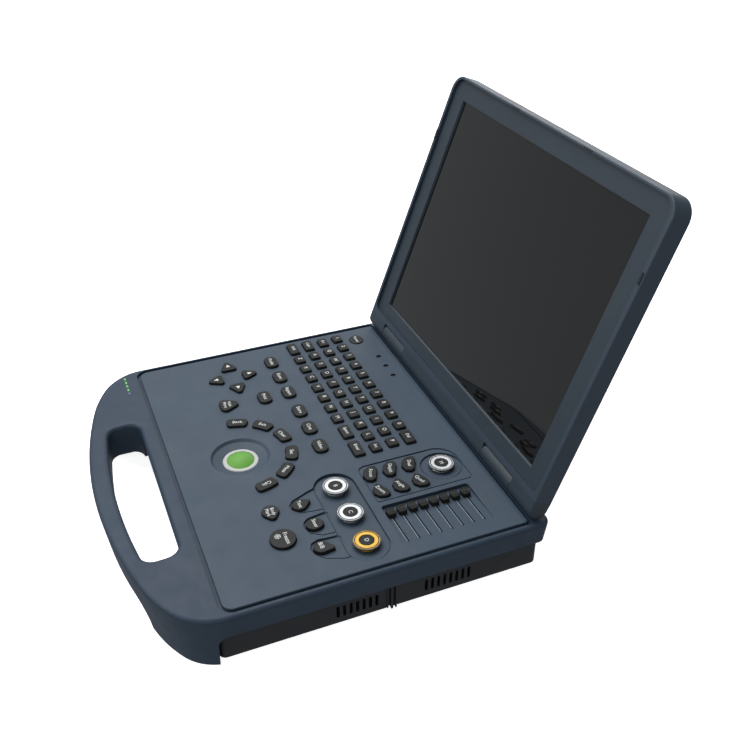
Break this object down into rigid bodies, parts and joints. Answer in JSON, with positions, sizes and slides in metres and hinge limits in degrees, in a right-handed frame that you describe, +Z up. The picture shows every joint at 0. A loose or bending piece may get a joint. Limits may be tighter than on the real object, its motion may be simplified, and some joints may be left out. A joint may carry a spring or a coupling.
{
  "type": "ultrasound scanner",
  "caption": "Portable laptop-style ultrasound scanner: tapered base with carrying handle, keyboard, trackball, knobs and gain sliders, and a hinged flat screen standing open.",
  "frame": {"origin": "under the middle of the open unit's bounding box, on the plane of the rubber feet", "axes": "+X to the operator's right, +Y from the operator towards the back, +Z up"},
  "size_m": [0.3662, 0.4495, 0.3274],
  "materials": {
    "shell_plastic": "fine-grained moulded plastic",
    "panel_plastic": "fine-grained moulded plastic",
    "tray_plastic": "fine-grained moulded plastic",
    "bezel_plastic": "smooth satin plastic",
    "key_plastic": "satin plastic",
    "dark_plastic": "satin",
    "foot_rubber": "matte",
    "steel": "satin",
    "shield_metal": "satin",
    "heat_sink_aluminium": "anodised",
    "circuit_board": "solder mask",
    "ball_green": "gloss",
    "ring_white": "gloss",
    "lens_green": "gloss",
    "knob_silver": "satin",
    "knob_gold": "satin",
    "screen_glass": "gloss",
    "screen_panel": "dark"
  },
  "bodies": {
    "base": {"upper_housing": "shell_plastic", "lower_housing": "tray_plastic", "control_panel": "panel_plastic", "rubber_feet": "foot_rubber", "housing_screws": "steel", "indicator_lenses": "lens_green", "battery_pack": "dark_plastic", "main_board": "circuit_board", "front_end_module": "shield_metal", "power_module": "shield_metal", "heat_sink": "heat_sink_aluminium", "fan_frame": "dark_plastic", "keypad_board": "circuit_board", "slider_tracks": "dark_plastic", "encoder_bodies": "steel", "probe_connectors": "dark_plastic", "io_connectors": "dark_plastic", "trackball_ring": "ring_white", "trackball_socket": "dark_plastic", "hinge_knuckles": "shell_plastic", "hinge_pins": "steel"},
    "lid": {"lid_hinge_brackets": "steel", "lid_back_cover": "shell_plastic", "lid_chin": "shell_plastic", "lid_bezel": "bezel_plastic", "lid_bumpers": "foot_rubber", "screen_glass": "screen_glass", "lcd_panel": "screen_panel"},
    "keys_row_a": {"key_row_a": "key_plastic"},
    "keys_row_b": {"key_row_b": "key_plastic"},
    "keys_row_c": {"key_row_c": "key_plastic"},
    "keys_row_d": {"key_row_d": "key_plastic"},
    "preset_set": {"preset_keys": "key_plastic"},
    "function_set": {"function_keys": "key_plastic"},
    "paddle_set": {"paddle_keys": "key_plastic"},
    "arc_set": {"arc_keys": "key_plastic"},
    "power": {"power_button": "key_plastic"},
    "freeze": {"freeze_key": "key_plastic"},
    "arrow_up": {"arrow_key_up": "key_plastic"},
    "arrow_down": {"arrow_key_down": "key_plastic"},
    "arrow_left": {"arrow_key_left": "key_plastic"},
    "arrow_right": {"arrow_key_right": "key_plastic"},
    "dial_1": {"mode_dial_1": "knob_silver"},
    "dial_button_1": {"mode_button_1": "key_plastic"},
    "dial_2": {"mode_dial_2": "knob_silver"},
    "dial_button_2": {"mode_button_2": "key_plastic"},
    "dial_3": {"mode_dial_3": "knob_gold"},
    "dial_button_3": {"mode_button_3": "key_plastic"},
    "dial_4": {"mode_dial_4": "knob_silver"},
    "dial_button_4": {"mode_button_4": "key_plastic"},
    "slider_1": {"slider_cap_1": "key_plastic"},
    "slider_2": {"slider_cap_2": "key_plastic"},
    "slider_3": {"slider_cap_3": "key_plastic"},
    "slider_4": {"slider_cap_4": "key_plastic"},
    "slider_5": {"slider_cap_5": "key_plastic"},
    "slider_6": {"slider_cap_6": "key_plastic"},
    "slider_7": {"slider_cap_7": "key_plastic"},
    "slider_8": {"slider_cap_8": "key_plastic"},
    "ball": {"trackball": "ball_green"},
    "rotor": {"fan_rotor": "dark_plastic"}
  },
  "joints": [
    {"name": "lid_hinge", "type": "hinge", "parent": "base", "child": "lid", "pos_m": [0, 0.11575, 0.0658], "axis": [1, 0, 0], "range_deg": [-20, 110]},
    {"name": "keys_row_a_press", "type": "slide", "parent": "base", "child": "keys_row_a", "axis": [0, 0, -1], "range_m": [0, 0.0012], "stiffness_N_per_m": 400, "springref_m": -0.002},
    {"name": "keys_row_b_press", "type": "slide", "parent": "base", "child": "keys_row_b", "axis": [0, 0, -1], "range_m": [0, 0.0012], "stiffness_N_per_m": 400, "springref_m": -0.002},
    {"name": "keys_row_c_press", "type": "slide", "parent": "base", "child": "keys_row_c", "axis": [0, 0, -1], "range_m": [0, 0.0012], "stiffness_N_per_m": 400, "springref_m": -0.002},
    {"name": "keys_row_d_press", "type": "slide", "parent": "base", "child": "keys_row_d", "axis": [0, 0, -1], "range_m": [0, 0.0012], "stiffness_N_per_m": 400, "springref_m": -0.002},
    {"name": "preset_set_press", "type": "slide", "parent": "base", "child": "preset_set", "axis": [0, 0, -1], "range_m": [0, 0.0012], "stiffness_N_per_m": 400, "springref_m": -0.002},
    {"name": "function_set_press", "type": "slide", "parent": "base", "child": "function_set", "axis": [0, 0, -1], "range_m": [0, 0.0012], "stiffness_N_per_m": 400, "springref_m": -0.002},
    {"name": "paddle_set_press", "type": "slide", "parent": "base", "child": "paddle_set", "axis": [0, 0, -1], "range_m": [0, 0.0012], "stiffness_N_per_m": 400, "springref_m": -0.002},
    {"name": "arc_set_press", "type": "slide", "parent": "base", "child": "arc_set", "axis": [0, 0, -1], "range_m": [0, 0.0012], "stiffness_N_per_m": 400, "springref_m": -0.002},
    {"name": "power_press", "type": "slide", "parent": "base", "child": "power", "axis": [0, 0, -1], "range_m": [0, 0.0008], "stiffness_N_per_m": 400, "springref_m": -0.002},
    {"name": "freeze_press", "type": "slide", "parent": "base", "child": "freeze", "axis": [0, 0, -1], "range_m": [0, 0.0012], "stiffness_N_per_m": 400, "springref_m": -0.002},
    {"name": "arrow_up_press", "type": "slide", "parent": "base", "child": "arrow_up", "axis": [0, 0, -1], "range_m": [0, 0.0012], "stiffness_N_per_m": 400, "springref_m": -0.002},
    {"name": "arrow_down_press", "type": "slide", "parent": "base", "child": "arrow_down", "axis": [0, 0, -1], "range_m": [0, 0.0012], "stiffness_N_per_m": 400, "springref_m": -0.002},
    {"name": "arrow_left_press", "type": "slide", "parent": "base", "child": "arrow_left", "axis": [0, 0, -1], "range_m": [0, 0.0012], "stiffness_N_per_m": 400, "springref_m": -0.002},
    {"name": "arrow_right_press", "type": "slide", "parent": "base", "child": "arrow_right", "axis": [0, 0, -1], "range_m": [0, 0.0012], "stiffness_N_per_m": 400, "springref_m": -0.002},
    {"name": "dial_1_turn", "type": "hinge", "parent": "base", "child": "dial_1", "pos_m": [0.0743, -0.02695, 0.057], "axis": [0, 0, 1], "continuous": true},
    {"name": "dial_button_1_press", "type": "slide", "parent": "base", "child": "dial_button_1", "axis": [0, 0, -1], "range_m": [0, 0.0008], "stiffness_N_per_m": 400, "springref_m": -0.002},
    {"name": "dial_2_turn", "type": "hinge", "parent": "base", "child": "dial_2", "pos_m": [0.111, -0.02695, 0.057], "axis": [0, 0, 1], "continuous": true},
    {"name": "dial_button_2_press", "type": "slide", "parent": "base", "child": "dial_button_2", "axis": [0, 0, -1], "range_m": [0, 0.0008], "stiffness_N_per_m": 400, "springref_m": -0.002},
    {"name": "dial_3_turn", "type": "hinge", "parent": "base", "child": "dial_3", "pos_m": [0.1477, -0.02695, 0.057], "axis": [0, 0, 1], "continuous": true},
    {"name": "dial_button_3_press", "type": "slide", "parent": "base", "child": "dial_button_3", "axis": [0, 0, -1], "range_m": [0, 0.0008], "stiffness_N_per_m": 400, "springref_m": -0.002},
    {"name": "dial_4_turn", "type": "hinge", "parent": "base", "child": "dial_4", "pos_m": [0.0805, 0.07245, 0.057], "axis": [0, 0, 1], "continuous": true},
    {"name": "dial_button_4_press", "type": "slide", "parent": "base", "child": "dial_button_4", "axis": [0, 0, -1], "range_m": [0, 0.0008], "stiffness_N_per_m": 400, "springref_m": -0.002},
    {"name": "slider_1_travel", "type": "slide", "parent": "base", "child": "slider_1", "axis": [0.9981, 0, 0.0611], "range_m": [0, 0.028]},
    {"name": "slider_2_travel", "type": "slide", "parent": "base", "child": "slider_2", "axis": [0.9981, 0, 0.0611], "range_m": [0, 0.028]},
    {"name": "slider_3_travel", "type": "slide", "parent": "base", "child": "slider_3", "axis": [0.9981, 0, 0.0611], "range_m": [0, 0.028]},
    {"name": "slider_4_travel", "type": "slide", "parent": "base", "child": "slider_4", "axis": [0.9981, 0, 0.0611], "range_m": [0, 0.028]},
    {"name": "slider_5_travel", "type": "slide", "parent": "base", "child": "slider_5", "axis": [0.9981, 0, 0.0611], "range_m": [0, 0.028]},
    {"name": "slider_6_travel", "type": "slide", "parent": "base", "child": "slider_6", "axis": [0.9981, 0, 0.0611], "range_m": [0, 0.028]},
    {"name": "slider_7_travel", "type": "slide", "parent": "base", "child": "slider_7", "axis": [0.9981, 0, 0.0611], "range_m": [0, 0.028]},
    {"name": "slider_8_travel", "type": "slide", "parent": "base", "child": "slider_8", "axis": [0.9981, 0, 0.0611], "range_m": [0, 0.028]},
    {"name": "ball_roll", "type": "hinge", "parent": "base", "child": "ball", "pos_m": [-0.001, -0.09195, 0.0372], "axis": [1, 0, 0], "continuous": true},
    {"name": "fan_spin", "type": "hinge", "parent": "base", "child": "rotor", "pos_m": [0.144, 0.03505, 0.016], "axis": [0, 0, 1], "continuous": true}
  ]
}
